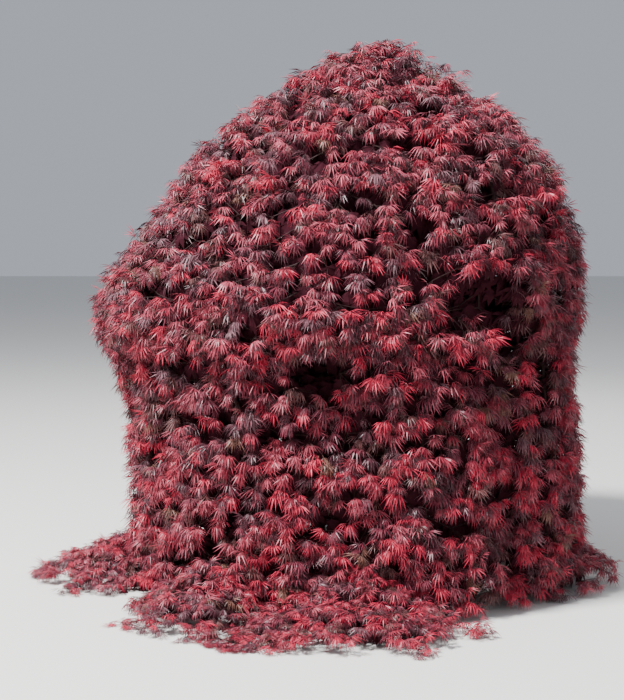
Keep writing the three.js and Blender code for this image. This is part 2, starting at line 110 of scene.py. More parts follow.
# Where a spray's shoots end: across, and further down
SHOOT_ENDS = (
    (-0.044, 0.006),
    (0.020, 0.022),
    (-0.018, 0.046),
    (0.046, 0.064),
    (-0.048, 0.086),
    (0.008, 0.108),
)
SHOOT_WANDER = 0.020
SHOOT_STEPS = 3
SHOOT_RADII = (0.0020, 0.0010)
CLUMP_SIZE = 0.13  # tufts stand out in clumps about this far apart
CLUMP_DEPTH = 0.060  # and are sunk by this much between them
BARE_IN_HOLLOW, BARE_BETWEEN_CLUMPS = 0.96, 0.25  # shares of the shoots that are left out there
LEAF_LENGTH = 0.068  # stalk and blade of a grown leaf
TOP_LEAVES, SIDE_LEAVES = 5, 2  # in a tuft: spread round its top, and hanging down its sides
TUFT_REACH = 2.0  # to each side of outward that a tuft spreads its leaves
TOP_CLIMB, SIDE_CLIMB = -0.25, -0.95
PAIR_CLIMB = -0.8  # the two leaves below a tuft
LEAN_SCATTER = 0.3  # of a whole tuft's tilt
TURN_SCATTER = 0.40  # of a leaf's bearing in its tuft
CLIMB_SCATTER, FACE_SCATTER = 0.34, 0.32  # of every leaf
LEAF_SIZES = (0.70, 1.3)
# Shares of the tufts whose top leaves take a brighter tint of new growth, partly painted light, and
# whose hanging leaves take a darker tint of aged growth, partly painted shade; and of the pairs
NEWER_LIT_SHARE, OLDER_SHADED_SHARE, PAIR_SHADED_SHARE = 0.35, 0.5, 0.6
INNER_LEAF = 0.115  # the aged leaves inside, which close the crown, in a near-black tint that is painted shade
INNER_ROWS, INNER_COLUMNS = 3, 4  # a loose grid of them behind each spray
INNER_DOWN = (-0.09, 0.13)  # from the spray's place to the grid's edges
INNER_ACROSS = (-0.10, 0.10)
CAP_RINGS = (0.0, 0.11, 0.22, 0.31)  # distances from the top to the rings of sprays round it
CREST_DEPTH = 0.110  # from the top down to where their twigs part
WISPS, WISP_LEAVES = 14, 0.5  # thin shoots that stand a little over the crown's top, half in leaf
WISP_RISE = 0.022
LEAST_HEIGHT = 0.004  # leaves that reach the ground lie this far above it
LEAF_BELOW, INNER_BELOW = 0.04, 0.02  # how far tips of leaves may hang under their mass's floor
SHOOT_CLEAR, TWIG_CLEAR, STEM_CLEAR = 0.006, 0.008, 0.012  # the wood's least heights over it
SUNK_RIGHT = 0.07  # how much deeper the leaves lie where the crown's top falls away to the right
HOLLOW_DEPTH = 0.120
# The crown's shadowed hollows: bearing in degrees, distance down, half width and half height
HOLLOWS = (
    (-57, 1.660, 0.240, 0.160),
    (-48, 1.860, 0.120, 0.110),
    (-38, 2.030, 0.070, 0.170),
    (-97, 1.940, 0.150, 0.055),
)

TIERS = [
    # name, masses, turn of the first in degrees, top and bottom edge down the outline
    ("upper", 6, 12, 0.400, 1.090),
    ("middle", 8, -8, 1.090, 1.870),
    ("lower", 8, -30, 1.870, 2.630),
]
SKIRTS = [
    # name, bearing and half width in degrees, reach from the trunk; and for the grown leaves, how
    # far the last row stays back from there, and how much further at the free corners
    ("left", -172, 15, 1.440, 0.115, 0.10),
    ("front_left", -126, 14, 1.390, 0.078, 0.14),
    ("front", -92, 20, 1.430, 0.125, 0.13),
    ("right", -15, 20, 1.200, 0.186, 0.03),
    ("back_right", 38, 23, 1.200, 0.220, 0.09),
    ("back_left", 112, 21, 1.190, 0.220, 0.09),
]

# What the masses of each tier have of their own. The lowest tier hangs on past its bottom edge.
TIERS_OWN = {
    "upper": {"tip_depth": 0.008},
    "middle": {"tip_depth": 0.030},
    "lower": {
        "tip_depth": -0.004,
        "droop": 0.015,
        "hem": -0.170,
        "floor": 0.100,  # the crown's hem over a skirt
        "bare_floor": 0.045,  # and where no skirt lies under it
    },
}
# What every skirt has of its own: it is flat, low and dense, and its shoots rest on the ground
SKIRTS_OWN = {
    "tier_dip": 0.0,
    "side_dip": 0.010,
    "side_fall": 0.60,
    "sunk_right": 0.0,
    "hollows": (),
    "first_row": -0.020,
    "margin": -0.040,
    "stem_depth": 0.046,
    "twig_depth": 0.036,
    "droop": 0.010,
    "fork_down": 0.010,
    "entry_down": 0.006,
    "entry_under": 0.090,
    "tip_depth": 0.008,
    "relief": 0.018,
    "weeping": 0.5,
    "scale": 0.8,
    "inner_depths": (0.045, 0.080),
    "inner_scale": 0.6,
    "inner_margin": 0.180,
    "floor": LEAST_HEIGHT,
    "ceiling": SKIRT_TOP + 0.03,
    "lying": True,
}

# Tints of laceleaf foliage in late spring, from new growth to old, and a near-black one that is painted
# shade: sRGB hex, share of the crown's shoots, the record's slot, and the tints of a tuft's new top
# leaves, brighter as partly painted light, and of its aged hanging leaves, darker as partly painted
# shade
Tint = namedtuple("Tint", "colour share slot newer older")
TINTS = {
    "crimson": Tint("#a91836", 0.12, "crimson_leaves", "crimson", "burgundy"),
    "cherry": Tint("#8b1f34", 0.19, "crimson_leaves", "crimson", "burgundy"),
    "rose": Tint("#963848", 0.16, "crimson_leaves", "rose", "maroon"),
    "burgundy": Tint("#6a2132", 0.20, "burgundy_leaves", "cherry", "wine"),
    "wine": Tint("#4a1d29", 0.12, "wine_leaves", "burgundy", "wine"),
    # Mauve is partly the leaves' own tint and partly a painted grey-pink sheen.
    "mauve": Tint("#673f48", 0.08, "wine_leaves", "rose", "wine"),
    "maroon": Tint("#562a2b", 0.10, "burgundy_leaves", "rose", "maroon"),
    "bronze": Tint("#6a4338", 0.02, "bronze_leaves", "bronze", "bronze"),
    # The inner leaves' near-black tint is painted shade on leaves that do lie inside the crown.
    "shade": Tint("#34171e", 0.0, "wine_leaves", "shade", "shade"),
}


def lerp(a, b, share):
    return a + (b - a) * share


def smoothstep(value, low, high):
    share = min(max((value - low) / (high - low), 0), 1)
    return share * share * (3 - 2 * share)


def seeded(seed):
    """The solids' own numbers from 0 to 1, the same on every run."""
    state = seed
    while True:
        state = (state * 1664525 + 1013904223) & 0xFFFFFFFF
        yield state / 2**32


def side_shift(height):
    """How far the crown's middle stands to the right of the trunk's foot at a height."""
    bulge = math.exp(-(((height - WIDEST_AT) / SHOULDER_SPREAD) ** 2))
    return TOP_LEAN * max(height / HEIGHT, 0) ** 3.4 + SHOULDER_LEAN * bulge


class Rib:
    """A curve in the plane of radius and height, by distance along it."""

    def __init__(self, points):
        points = np.array(points)
        last = len(points) - 1
        steps = np.linspace(0, last, RIB_STEPS + 1)
        at = np.minimum(steps.astype(int), last - 1)
        share = (steps - at)[:, None]
        before, start = points[np.maximum(at - 1, 0)], points[at]
        end, after = points[at + 1], points[np.minimum(at + 2, last)]
        into, out = (end - before) / 2, (after - start) / 2
        curve = (
            (2 * start - 2 * end + into + out) * share**3
            + (3 * end - 3 * start - 2 * into - out) * share**2
            + into * share
            + start
        )
        run = np.hypot(*np.diff(curve, axis=0).T)
        self.downs = np.concatenate([[0], np.cumsum(run)])
        self.length = self.downs[-1]
        along = np.gradient(curve, self.downs, axis=0)
        along /= np.linalg.norm(along, axis=1)[:, None]
        self.columns = np.hstack([curve, along])

    def at(self, down):
        """Radius, height, and the direction in which both change."""
        down = min(max(down, 0), self.length)
        i = min(int(np.searchsorted(self.downs, down, side="right")) - 1, len(self.downs) - 2)
        share = (down - self.downs[i]) / (self.downs[i + 1] - self.downs[i])
        row = self.columns[i] + (self.columns[i + 1] - self.columns[i]) * share
        return tuple(float(value) for value in row)


def crown_rib():
    """The crown's own rib runs from its top down to the ground."""
    points = []
    above = 14
    for i in range(above + 1):
        rise = 1 - (i / above) ** 1.6
        points.append((WIDEST_HALF * (1 - rise**1.5) ** 0.625, lerp(WIDEST_AT, HEIGHT, rise)))
    below = 6
    for i in range(1, below + 1):
        height = WIDEST_AT * (1 - i / below)
        points.append((lerp(FOOT_HALF, WIDEST_HALF, smoothstep(height, FOOT_FROM, WIDEST_AT)), height))
    return Rib(points)


def skirt_rib(reach):
    """A skirt's rib starts under the crown and slopes out to a low edge."""
    start = FOOT_HALF - SHELL
    heights = (SKIRT_TOP, SKIRT_TOP - 0.008, 0.165, 0.095, 0.034)
    return Rib([(lerp(start, reach, share), z) for share, z in zip((0, 0.3, 0.6, 0.85, 1), heights)])


def polar(bearing, radius=1.0, height=0.0, centre=0.0):
    return Vector((centre + radius * math.cos(bearing), radius * math.sin(bearing), height))


def crown_point(rib, bearing, down, under):
    """The point at a bearing, a distance down the rib and a depth under it."""
    radius, height, outward, rising = rib.at(down)
    radius += rising * under
    height -= outward * under
    return polar(bearing, radius, height, side_shift(height))


def stroll(rib, bearing, down, across, further):
    """The bearing and distance reached by going across and then down the outline."""
    radius, _, spreading, _ = rib.at(down + further)
    turned = bearing + math.atan2(across, radius)
    return turned, down + further + (math.hypot(across, radius) - radius) * spreading


def turn_between(a, b):
    return math.atan2(math.sin(a - b), math.cos(a - b))


def over_skirt(bearing):
    return any(
        abs(turn_between(bearing, math.radians(middle))) < math.radians(half)
        for _, middle, half, *_ in SKIRTS
    )


def falls_away(bearing, down):
    """From 0 to 1, where the crown's top is lower to the right than its outline."""
    rightward = max(math.cos(bearing), 0)
    return rightward * smoothstep(down, -0.08, 0.25) * (1 - smoothstep(down, 0.4, 0.8))


class Mass:
    """One mass of foliage. The values below hold where a mass has none of its own."""

    cap = False  # whether it is the round one at the crown's top
    tier_dip = TIER_DIP
    side_dip = SIDE_DIP
    side_fall = 0.0  # share of its height by which it also falls towards its sides
    sunk_right = SUNK_RIGHT
    hollows = HOLLOWS
    first_row = -0.050  # from its top to its first row of twigs
    hem = 0.110  # how far its last row stays back from its bottom
    corner = 0.0  # and how much further at a side that no skirt adjoins
    margin = 0.015  # how far its twigs stay back from its sides
    stem_depth, twig_depth = 0.080, 0.060
    droop = 0.045  # how far its twigs bend down at their tips
    fork_down = -0.010  # from its top to the stem's first fork
    entry_down, entry_under = -0.060, SHELL + 0.020  # from its top to the bough's tip, and how deep
    tip_depth = 0.026  # how deep its shoots end
    relief = CLUMP_DEPTH
    weeping = 1.0  # share of the leaves' usual fall
    scale = 1.0  # of its leaves and of the spaces between them
    inner_depths = (0.055, 0.20)  # how deep its inner leaves start
    inner_scale = 1.0
    inner_margin = 0.0  # how far they stay back from its bottom
    floor, ceiling = SKIRT_TOP - 0.06, HEIGHT  # its least and greatest height
    bare_floor = None  # its least height where no skirt lies under it, if that is another
    lying = False  # whether its shoots rest on the ground

    def __init__(self, name, rib, bearing, half, top, bottom, seed, **own):
        self.name, self.rib, self.bearing, self.half = name, rib, bearing, half
        self.top, self.bottom, self.seed = top, bottom, seed
        self.__dict__.update(own)
        # The bough and its stem meet as on the solids, and the grown leaves dip less
        self.tip, self.along = self.entry()
        self.tier_dip = min(self.tier_dip, GROWN_DIP)

    def dip(self, bearing, down):
        """How much deeper than the crown's outline the mass's own surface is."""
        share = min(max((down - self.top) / (self.bottom - self.top), 0), 1)
        aside = 0 if self.cap else min(abs(turn_between(bearing, self.bearing)) / self.half, 1)
        side_dip = self.side_dip + self.side_fall * self.rib.at(down)[1]
        sunk = HOLLOW_DEPTH * self.opening(bearing, down)
        sunk += self.sunk_right * falls_away(bearing, down)
        return self.tier_dip * (1 - share) ** 2 + side_dip * aside**2 + sunk

    def lowest(self, bearing):
        """The least height of the mass's foliage at a bearing."""
        if self.bare_floor is None or over_skirt(bearing):
            return self.floor
        return self.bare_floor

    def opening(self, bearing, down):
        """From 0 to 1, how far the crown opens into one of its hollows."""
        away = 2.0
        for middle, middle_down, half_width, half_height in self.hollows:
            across = turn_between(bearing, math.radians(middle)) * WIDEST_HALF / half_width
            away = min(away, math.hypot(across, (down - middle_down) / half_height))
        return 1 - smoothstep(away, 0.7, 1.15)

    def point(self, bearing, down, depth):
        return crown_point(self.rib, bearing, down, depth + self.dip(bearing, down))

    def cut_back(self, bearing):
        """How much shorter the mass is towards a side that no skirt adjoins."""
        aside = turn_between(bearing, self.bearing) / self.half
        if not self.corner or over_skirt(self.bearing + 1.25 * math.copysign(self.half, aside)):
            return 0.0
        return self.corner * smoothstep(abs(aside), 0.4, 1.0)

    def entry(self):
        """Where the bough hands over, and the direction in which the stem goes on."""
        tip = crown_point(self.rib, self.bearing, self.top + self.entry_down, self.entry_under)
        first_fork = 0.0 if self.cap else self.top + self.fork_down
        return tip, (self.point(self.bearing, first_fork, self.stem_depth) - tip).normalized()


def cap_mass(crown):
    """The mass at the very top, which wraps all round."""
    own = {"cap": True, "tier_dip": 0.0, "entry_down": 0.0, "ceiling": HEIGHT + 0.015}
    return Mass("top_foliage", crown, 0.0, math.pi, 0.0, TIERS[0][3], 7, **own)


def tier_masses(crown):
    """The three tiers of hanging masses, from the top down."""
    tiers = []
    for tier, (name, count, turn, top, bottom) in enumerate(TIERS, 1):
        masses = []
        for i in range(count):
            bearing = math.radians(turn + 360 / count * i)
            edges = (math.pi / count, top, bottom, 100 * tier + i)
            mass = Mass(f"{name}_foliage_{i + 1}", crown, bearing, *edges, **TIERS_OWN[name])
            masses.append(mass)
        tiers.append(masses)
    return tiers


def skirt_masses():
    """The masses that trail on the ground."""
    masses = []
    for i, (name, bearing, half, reach, hem, corner) in enumerate(SKIRTS):
        rib = skirt_rib(reach)
        edges = (math.radians(bearing), math.radians(half), 0.0, rib.length, 500 + i)
        masses.append(Mass(f"skirt_{name}", rib, *edges, hem=hem, corner=corner, **SKIRTS_OWN))
    return masses


# Limbs


class Bough:
    """A limb on a centripetal curve through its points, thinner towards its tip."""

    def __init__(self, name, start, mids, tip, tip_along, radius):
        self.name, self.radius = name, radius
        stops = [start, *mids, tip - tip_along * TIP_RUN, tip]
        stops = [stops[0] * 2 - stops[1], *stops, stops[-1] * 2 - stops[-2]]
        self.points = []
        shares = [k / SPAN_STEPS for k in range(SPAN_STEPS)]
        for before, a, b, after in zip(stops, stops[1:], stops[2:], stops[3:]):
            self.points += [self.between(before, a, b, after, share) for share in shares]
        self.points.append(tip.copy())
        run = [(b - a).length for a, b in zip(self.points, self.points[1:])]
        self.runs = np.concatenate([[0], np.cumsum(run)])

    @staticmethod
    def between(before, a, b, after, share):
        """A point between a and b, on a curve that also heeds the points before and after them."""
        pairs = ((before, a), (a, b), (b, after))
        gaps = [max((q - p).length_squared ** 0.25, 1e-4) for p, q in pairs]
        into = (a - before) / gaps[0] - (b - before) / (gaps[0] + gaps[1]) + (b - a) / gaps[1]
        out = (b - a) / gaps[1] - (after - a) / (gaps[1] + gaps[2]) + (after - b) / gaps[2]
        into, out = into * gaps[1], out * gaps[1]
        return (
            a
            + into * share
            + (3 * (b - a) - 2 * into - out) * share**2
            + (2 * (a - b) + into + out) * share**3
        )

    def at(self, share):
        run = share * self.runs[-1]
        i = min(int(np.searchsorted(self.runs, run, side="right")) - 1, len(self.points) - 2)
        part = (run - self.runs[i]) / (self.runs[i + 1] - self.runs[i])
        return self.points[i].lerp(self.points[i + 1], float(part))

    def path(self, steps):
        """Points along the limb with its radius at each."""
        shares = [k / steps for k in range(steps + 1)]
        return [(self.at(s), lerp(self.radius, TIP_RADIUS, s**0.8)) for s in shares]


def trunk_axis(height):
    """The trunk's middle at a height: a lean with a slow bend in it."""
    share = height / FORK_AT
    bend = math.sin(share * math.pi) * TRUNK_BEND
    return Vector((TRUNK_LEAN[0] * share**1.5 - bend, TRUNK_LEAN[1] * share + bend / 2, height))


def wander(numbers, point, amount):
    return point + Vector([(next(numbers) * 2 - 1) * amount for _ in range(3)])


def leader_to(cap):
    """The trunk's own way on up to the crown's top."""
    start = trunk_axis(FORK_AT - 0.070)
    mids = []
    for i, share in enumerate((0.35, 0.65)):
        mids.append(start.lerp(cap.tip, share) + polar(i * 2.6 + 0.7, LEADER_SWAY, 0))
    return Bough("leader", start, mids, cap.tip, cap.along, LEADER_RADIUS)


def upper_bough(i, mass):
    """An upper bough leaves the trunk steeply and bends out at the top."""
    numbers = seeded(30 + i)
    leaves = lerp(*UPPER_START, ((i * 5) % 6) / 5)
    start, top = trunk_axis(leaves), mass.tip.z
    mids = [
        polar(mass.bearing, 0.125, leaves + 0.080, start.x),
        wander(numbers, polar(mass.bearing, 0.190, lerp(leaves, top, 0.4), start.x), 0.018),
        wander(numbers, polar(mass.bearing, 0.235, lerp(leaves, top, 0.72), start.x + 0.030), 0.018),
    ]
    return Bough(f"upper_bough_{i + 1}", start, mids, mass.tip, mass.along, UPPER_RADIUS)


def arched_bough(kind, name, i, start, mass):
    seed, rises, amount, radius = ARCHES[kind]
    numbers, mids = seeded(seed + i), []
    for share, rise in rises:
        point = start.lerp(mass.tip, share)
        point.z += rise
        mids.append(wander(numbers, point, amount))
    return Bough(f"{kind}_bough_{name}", start, mids, mass.tip, mass.along, radius)


def grow_boughs(cap, tiers, skirts):
    """A leader to the top, and a bough to every mass, by the solids' rule."""
    upper, middle, lower = tiers
    uppers = [upper_bough(i, mass) for i, mass in enumerate(upper)]
    boughs = [leader_to(cap), *uppers]
    for i, mass in enumerate(middle):
        # It leaves the upper bough nearest to it
        turns = [abs(turn_between(other.bearing, mass.bearing)) for other in upper]
        start = uppers[turns.index(min(turns))].at(0.44 if i % 2 else 0.58)
        boughs.append(arched_bough("middle", i + 1, i, start, mass))
    for i, mass in enumerate(lower):
        start = trunk_axis(lerp(*LOWER_START, ((i * 3) % 8) / 7))
        boughs.append(arched_bough("lower", i + 1, i, start, mass))
    for i, mass in enumerate(skirts):
        start = trunk_axis(lerp(*SKIRT_START, ((i * 5) % 6) / 5))
        boughs.append(arched_bough("skirt", SKIRTS[i][0], i, start, mass))
    return boughs


# Foliage


class Growth:
    """Twigs as paths with a radius at each point, and leaves by tint."""

    def __init__(self):
        self.twigs = []
        self.leaves = {name: [] for name in TINTS}

    def leaf(self, tint, root, hang, face, size, shape):
        self.leaves[tint].append((root, hang, face, size, shape))


def directions_at(mass, bearing, down):
    """Down the outline, and out of it, at a place."""
    _, _, spreading, rising = mass.rib.at(down)
    radial = polar(bearing)
    return radial * spreading + Vector((0, 0, rising)), radial * -rising + Vector((0, 0, spreading))


def pick_tint(point, rng):
    """A shoot's tint: loose patches of each family, redder low down with fewer pale tints there as
    painted shade, rosy high up and at the left as painted light from the sky and from the upper left.
    """
    patch = noise.noise(point * 3.5 + Vector((7, 3, 1)))
    mood = noise.noise(point * 1.5 + Vector((1, 9, 4)))
    low = 1 - min(point.z / 1.1, 1)
    high = max(point.z - 1.5, 0)
    weights = {name: tint.share for name, tint in TINTS.items()}
    # Rosier high up and at the left is painted light; fewer pale rose and mauve low down is painted
    # shade.
    for name in ("crimson", "cherry"):
        weights[name] *= 1 + 1.2 * max(patch, 0) + 1.0 * low
    weights["rose"] *= 1 + 1.2 * max(-point.x, 0) + max(mood, 0) + 0.8 * high - 0.8 * low
    for name in ("wine", "mauve"):
        weights[name] *= 1 + 1.6 * max(-patch, 0) - 0.6 * low
    for name in ("maroon", "bronze"):
        weights[name] *= 1 + 2.0 * max(-mood, 0)
    return rng.choices(list(weights), list(weights.values()))[0]


def grow_leaf(growth, mass, tint, root, away, climb, floor, rng):
    """A leaf leaves its twig at an angle over the level, and faces up and outwards."""
    climb += rng.gauss(0, CLIMB_SCATTER)
    hang = away * math.cos(climb) + Vector((0, 0, math.sin(climb)))
    face = Vector((0, 0, math.cos(climb))) - away * math.sin(climb)
    face += Vector([rng.gauss(0, FACE_SCATTER) for _ in range(3)])
    size = LEAF_LENGTH * mass.scale * rng.uniform(*LEAF_SIZES)
    if root.z + hang.z * size > floor - LEAF_BELOW:
        growth.leaf(tint, root, hang, face, size, rng.randrange(len(YOUNG_KINDS)))


def grow_tuft(growth, mass, tip, place, tint, fullness, rng):
    """A shoot's last leaves spread round its tip like an umbrella, the aged ones hanging below. The top
    ones' brighter tint is partly painted light, and the hanging ones' darker tint is partly painted
    shade.
    """
    _, out = directions_at(mass, *place)
    floor = mass.lowest(place[0])
    # On the crown's top a tuft spreads all round, and lower down to its outer side
    reach = lerp(TUFT_REACH * rng.uniform(0.7, 1.1), math.pi, smoothstep(out.z, 0.75, 0.95))
    # Top leaves: brighter tint, partly new growth and partly painted light. Hanging leaves: darker
    # tint, partly age and partly painted shade.
    newest_lit = TINTS[tint].newer if rng.random() < NEWER_LIT_SHARE else tint
    oldest_shaded = TINTS[tint].older if rng.random() < OLDER_SHADED_SHARE else tint
    lean, leans_to = rng.gauss(0, LEAN_SCATTER), rng.uniform(-1.5, 1.5)
    for count, climb, own in (
        (TOP_LEAVES, lerp(TOP_CLIMB, 0.0, abs(out.z)) * mass.weeping, newest_lit),
        (SIDE_LEAVES, SIDE_CLIMB * mass.weeping, oldest_shaded),
    ):
        for i in range(count):
            if rng.random() > fullness:
                continue
            turn = lerp(-reach, reach, (i + 0.5) / count) + rng.gauss(0, TURN_SCATTER)
            tilted = climb + lean * math.cos(turn - leans_to)
            grow_leaf(growth, mass, own, tip, polar(place[0] + turn), tilted, floor, rng)


def grow_shoot(growth, mass, start, end, tip_depth, tint, rng, fullness=1.0):
    """A shoot rises from its twig and arches over, with a pair of leaves and a tuft at its end."""
    path, places = [], []
    for k in range(SHOOT_STEPS + 1):
        share = k / SHOOT_STEPS
        place = stroll(mass.rib, start[0], start[1], end[0] * share, end[1] * share)
        places.append(place)
        path.append(mass.point(*place, lerp(tip_depth, start[2], (1 - share) ** 1.6)))
    floor = mass.lowest(start[0])
    if mass.lying:
        for p in path:
            p.z = max(p.z, floor + SHOOT_CLEAR)
    if min(p.z for p in path) < floor or max(p.z for p in path) > mass.ceiling:
        return
    growth.twigs.append([(p, lerp(*SHOOT_RADII, k / SHOOT_STEPS)) for k, p in enumerate(path)])
    # The pair under the tuft often takes the darker tint, partly age and partly painted shade under the
    # tuft.
    for side in (-1, 1):
        away = polar(places[-2][0] + side * rng.uniform(0.6, 1.5))
        own = TINTS[tint].older if rng.random() < PAIR_SHADED_SHARE else tint
        grow_leaf(growth, mass, own, path[-2], away, PAIR_CLIMB * mass.weeping, floor, rng)
    grow_tuft(growth, mass, path[-1], places[-1], tint, fullness, rng)


def clump_at(point):
    """How far a tuft is sunk between clumps, from 0 to 1."""
    return smoothstep(noise.noise(point / CLUMP_SIZE + Vector((3, 8, 5))), -0.15, 0.45)


def grow_spray(growth, mass, place, rng):
    """A spray of a few shoots, each with a tuft, standing out or sunk a little."""
    mirror = rng.choice((-1, 1))
    for across, further in SHOOT_ENDS:
        across = mirror * across + rng.gauss(0, SHOOT_WANDER)
        further += rng.gauss(0, SHOOT_WANDER)
        end = (across * mass.scale, further * mass.scale)
        reached = stroll(mass.rib, *place, *end)
        tip = mass.point(*reached, 0)
        opening, sunk = mass.opening(*reached), clump_at(tip)
        if rng.random() < max(BARE_IN_HOLLOW * opening, BARE_BETWEEN_CLUMPS * sunk):
            continue
        tip_depth = mass.tip_depth + mass.relief * (0.75 * sunk + 0.25 * rng.random())
        tint = pick_tint(tip, rng)
        # In a hollow or between clumps a tuft often takes its darker tint: painted shade in the recess.
        if rng.random() < max(opening, 0.5 * sunk):
            tint = TINTS[tint].older
        root = max(mass.twig_depth + rng.uniform(0, 0.03), tip_depth + 0.02)
        grow_shoot(growth, mass, (*place, root), end, tip_depth, tint, rng)


def grow_inner(growth, mass, place, rng):
    """Aged leaves behind a spray, in the near-black shade tint, which is painted shade."""
    for row, column in itertools.product(range(INNER_ROWS), range(INNER_COLUMNS)):
        across = lerp(*INNER_ACROSS, (column + rng.random()) / INNER_COLUMNS) * mass.inner_scale
        further = lerp(*INNER_DOWN, (row + rng.random()) / INNER_ROWS) * mass.inner_scale
        spot = stroll(mass.rib, *place, across, further)
        if spot[1] > mass.rib.length - mass.inner_margin - mass.cut_back(spot[0]):
            continue
        root = mass.point(*spot, rng.uniform(*mass.inner_depths))
        downhill, out = directions_at(mass, *spot)
        hang = downhill * 0.8 + Vector((0, 0, -0.4)) + Vector([rng.gauss(0, 0.25) for _ in range(3)])
        hang.normalize()
        size = INNER_LEAF * mass.inner_scale * rng.uniform(0.8, 1.1)
        if root.z + hang.z * size >= mass.lowest(spot[0]) - INNER_BELOW:
            growth.leaf("shade", root, hang, out, size, rng.randrange(len(OLD_KINDS)))


def twig_places(mass, down, offset, rng):
    """Where a row's sprays leave its pair of twigs, with how far out along the twig each is."""
    reach = mass.half * mass.rib.at(down)[0] - mass.margin
    spaces = max(int(2 * reach / (SPRAY_SPACING * mass.scale)), 1)
    places = []
    for i in range(spaces + 1 - offset):
        aside = (2 * i + offset) / spaces - 1
        fall = abs(aside) * mass.droop + rng.uniform(-DOWN_SCATTER, DOWN_SCATTER)
        across = aside * reach + rng.uniform(-ACROSS_SCATTER, ACROSS_SCATTER)
        place = stroll(mass.rib, mass.bearing, down, across, fall)
        if down < mass.rib.length - mass.hem - mass.cut_back(place[0]) + 0.02:
            places.append((aside, place))
    return places


def grow_twigs(growth, mass, down, places):
    """A pair of twigs from the stem, through a row's places."""
    fork = mass.point(mass.bearing, down - FORK_RISE, mass.stem_depth)
    for side in (-1, 1):
        twig = [(fork, TWIG_ROOT)]
        for out, place in sorted((abs(aside), place) for aside, place in places if aside * side > 0.02):
            point = mass.point(*place, lerp(mass.stem_depth, mass.twig_depth, out))
            point.z = max(point.z, mass.lowest(place[0]) + TWIG_CLEAR)
            twig.append((point, lerp(*TWIG_RADII, out)))
        if len(twig) > 1:
            growth.twigs.append(twig)


def grow_mass(growth, mass):
    """Rows of twigs down the stem, sprays along every twig, and older leaves behind them."""
    rng = random.Random(mass.seed)
    first, last = mass.top + mass.first_row, mass.bottom - mass.hem
    rows = max(int((last - first) / (ROW_SPACING * mass.scale)) + 1, 2)
    stem = [(mass.tip, STEM_ROOT)]
    for row in range(rows):
        down = max(lerp(first, last, row / (rows - 1)), 0.02)
        joint = mass.point(mass.bearing, down - FORK_RISE * 0.5, mass.stem_depth)
        joint.z = max(joint.z, mass.floor + STEM_CLEAR)
        stem.append((joint, lerp(*STEM_RADII, row / rows)))
        places = twig_places(mass, down, row % 2, rng)
        grow_twigs(growth, mass, down, places)
        for _, place in places:
            grow_spray(growth, mass, place, rng)
            grow_inner(growth, mass, place, rng)
    growth.twigs.append(stem)


def grow_cap(growth, mass):
    """The top of the crown: rings of sprays round an upright stem, and wisps that stand over them."""
    rng = random.Random(mass.seed)
    crest = mass.point(0.0, 0.0, CREST_DEPTH)
    growth.twigs.append([(mass.tip, STEM_ROOT), (crest, 0.007)])
    for ring, down in enumerate(CAP_RINGS):
        radius = max(mass.rib.at(down)[0], 0.02)
        count = max(int(2 * math.pi * radius / SPRAY_SPACING), 3)
        for i in range(count):
            bearing = (i + 0.5 * (ring % 2)) / count * 2 * math.pi + rng.gauss(0, 0.1)
            place = (bearing, down + rng.uniform(-0.01, 0.02))
            growth.twigs.append([(crest, 0.004), (mass.point(*place, mass.twig_depth), 0.0026)])
            grow_spray(growth, mass, place, rng)
            grow_inner(growth, mass, place, rng)
    for i in range(WISPS):
        start = (i * 2.4, rng.uniform(0.02, 0.34), mass.twig_depth)
        end = (rng.uniform(-0.08, 0.08), rng.uniform(0.06, 0.12))
        depth = -rng.uniform(0, WISP_RISE)
        grow_shoot(growth, mass, start, end, depth, pick_tint(crest, rng), rng, WISP_LEAVES)


# Nodes and materials


def linear(hex_colour):
    """An sRGB hex value as the linear colour that a shader's socket takes."""
    channels = [int(hex_colour[i : i + 2], 16) / 255 for i in (1, 3, 5)]
    return [c / 12.92 if c <= 0.04045 else ((c + 0.055) / 1.055) ** 2.4 for c in channels] + [1.0]


def set_inputs(tree, node, inputs):
    """Each input is a plain value, a socket to link from, or a node for its first output."""
    for name, value in inputs.items():
        if isinstance(value, bpy.types.Node):
            value = value.outputs[0]
        if isinstance(value, bpy.types.NodeSocket):
            tree.links.new(value, node.inputs[name])
        else:
            node.inputs[name].default_value = value


def add_node(tree, kind, inputs=None, **settings):
    node = tree.nodes.new(kind)
    for name, value in settings.items():
        setattr(node, name, value)
    set_inputs(tree, node, inputs or {})
    return node


def add_noise(tree, place, size, detail=3.0, roughness=0.5):
    """Noise in patches of about a size."""
    inputs = {"Vector": place, "Scale": 1 / size, "Detail": detail, "Roughness": roughness}
    return add_node(tree, "ShaderNodeTexNoise", inputs)


def add_ramp(tree, value, *stops):
    """A ramp between two colours, each given with its position."""
    ramp = add_node(tree, "ShaderNodeValToRGB", {"Fac": value})
    for element, (position, colour) in zip(ramp.color_ramp.elements, stops):
        element.position, element.color = position, linear(colour)
    return ramp


def new_material(name):
    material = bpy.data.materials.new(name)
    material.use_nodes = True
    tree = material.node_tree
    return material, tree, tree.nodes["Principled BSDF"]


def laceleaf_material(name, colour, bloom):
    """A thin waxy leaf: one plain tint, a broad soft gloss, and a faint pale bloom at a slant."""
    material, tree, shader = new_material(f"laceleaf_{name}")
    gloss = {"Specular IOR Level": 0.47 * bloom, "Roughness": 0.46}
    sheen = {"Sheen Weight": 0.20 * bloom, "Sheen Roughness": 0.4}
    set_inputs(tree, shader, {"Base Color": linear(colour), **gloss, **sheen})
    return material


